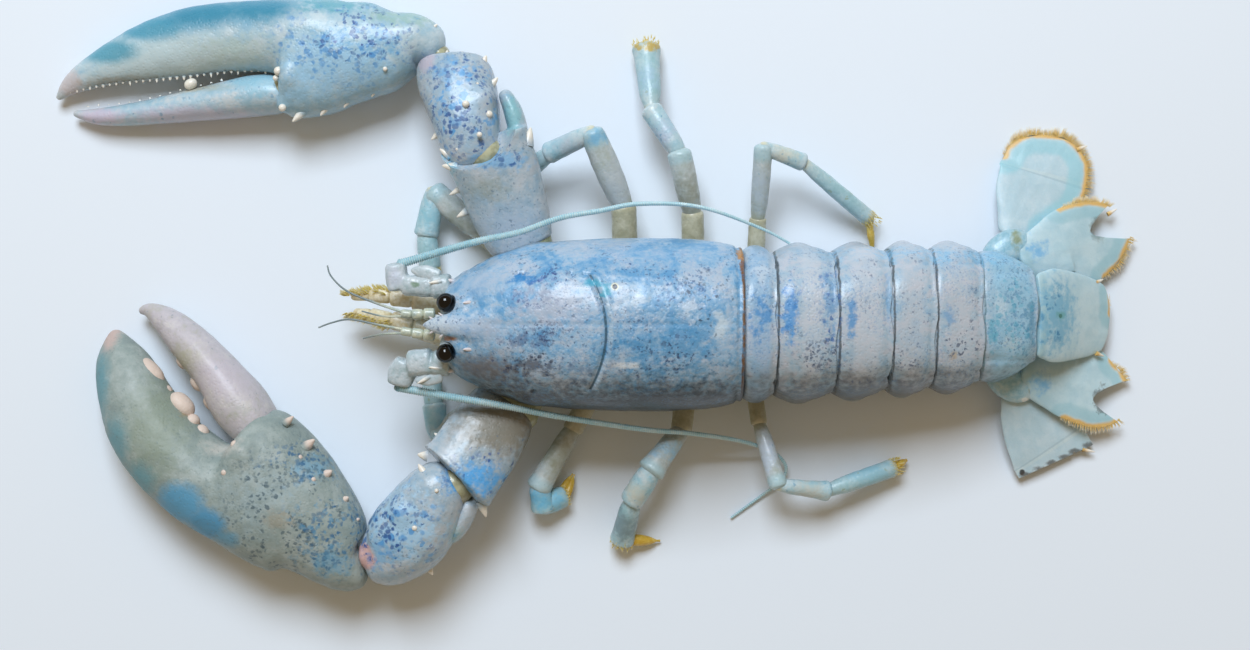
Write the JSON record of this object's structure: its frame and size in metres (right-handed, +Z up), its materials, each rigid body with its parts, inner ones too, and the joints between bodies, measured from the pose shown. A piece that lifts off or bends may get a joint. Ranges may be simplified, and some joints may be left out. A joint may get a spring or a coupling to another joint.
{
  "type": "american lobster",
  "caption": "Life-size still model of a pale blue lobster lying belly down with both claws laid forward.",
  "frame": {"origin": "flat of the belly under the middle of the thorax, on the ground", "axes": "+X from the head towards the tail, +Y to the animal's right side, +Z up"},
  "size_m": [0.3529, 0.1902, 0.056],
  "materials": {
    "front_shell": "wet satin shell, pale lavender blue with dark blue specks",
    "rear_shell": "wet satin shell, mottled sky blue",
    "tail_shell": "wet satin shell, pale blue with olive joint edges",
    "tail_fan": "thin translucent aqua plate with amber hairs on its rim",
    "claw_shell": "wet shell, grey green with teal and strong blue patches",
    "claw_finger": "wet shell, mauve grey with cream teeth",
    "arm_shell": "wet shell, light blue with dark blue specks and white spines",
    "leg_shell": "thin translucent grey olive shell with turquoise joints",
    "belly": "soft pale olive underside and joint skin",
    "feeler": "ringed teal grey feeler",
    "mouth": "pale mouth legs with golden hairs",
    "eye": "glossy black",
    "eyestalk": "wet grey blue"
  },
  "bodies": {
    "root": {"carapace_front": "front_shell", "carapace_rear": "rear_shell", "thorax_underside": "belly", "eye_right": "eye", "eyestalk_right": "eyestalk", "eye_left": "eye", "eyestalk_left": "eyestalk", "abdomen_1": "tail_shell", "abdomen_2": "tail_shell", "abdomen_3": "tail_shell", "abdomen_4": "tail_shell", "abdomen_5": "tail_shell", "abdomen_6": "tail_shell", "telson": "tail_fan", "uropod_root_right": "tail_fan", "uropod_root_left": "tail_fan", "uropod_outer_right": "tail_fan", "uropod_inner_right": "tail_fan", "uropod_outer_left": "tail_fan", "uropod_inner_left": "tail_fan", "arm_base_right": "arm_shell", "merus_right": "arm_shell", "carpus_right": "arm_shell", "claw_palm_right": "claw_shell", "claw_finger_right": "claw_finger", "arm_base_left": "arm_shell", "merus_left": "arm_shell", "carpus_left": "arm_shell", "claw_palm_left": "claw_shell", "claw_finger_left": "claw_finger", "leg_right_1_upper": "leg_shell", "leg_right_1_lower": "leg_shell", "leg_right_2_upper": "leg_shell", "leg_right_2_lower": "leg_shell", "leg_right_3_upper": "leg_shell", "leg_right_3_lower": "leg_shell", "leg_right_4_upper": "leg_shell", "leg_right_4_lower": "leg_shell", "leg_left_1_upper": "leg_shell", "leg_left_1_lower": "leg_shell", "leg_left_2_upper": "leg_shell", "leg_left_2_lower": "leg_shell", "leg_left_3_upper": "leg_shell", "leg_left_3_lower": "leg_shell", "leg_left_4_upper": "leg_shell", "leg_left_4_lower": "leg_shell", "antenna_base_right": "arm_shell", "antenna_near_right": "feeler", "antenna_far_right": "feeler", "antennule_right": "feeler", "maxilliped_right": "mouth", "antenna_base_left": "arm_shell", "antenna_near_left": "feeler", "antenna_far_left": "feeler", "antennule_left": "feeler", "maxilliped_left": "mouth"}
  },
  "joints": []
}
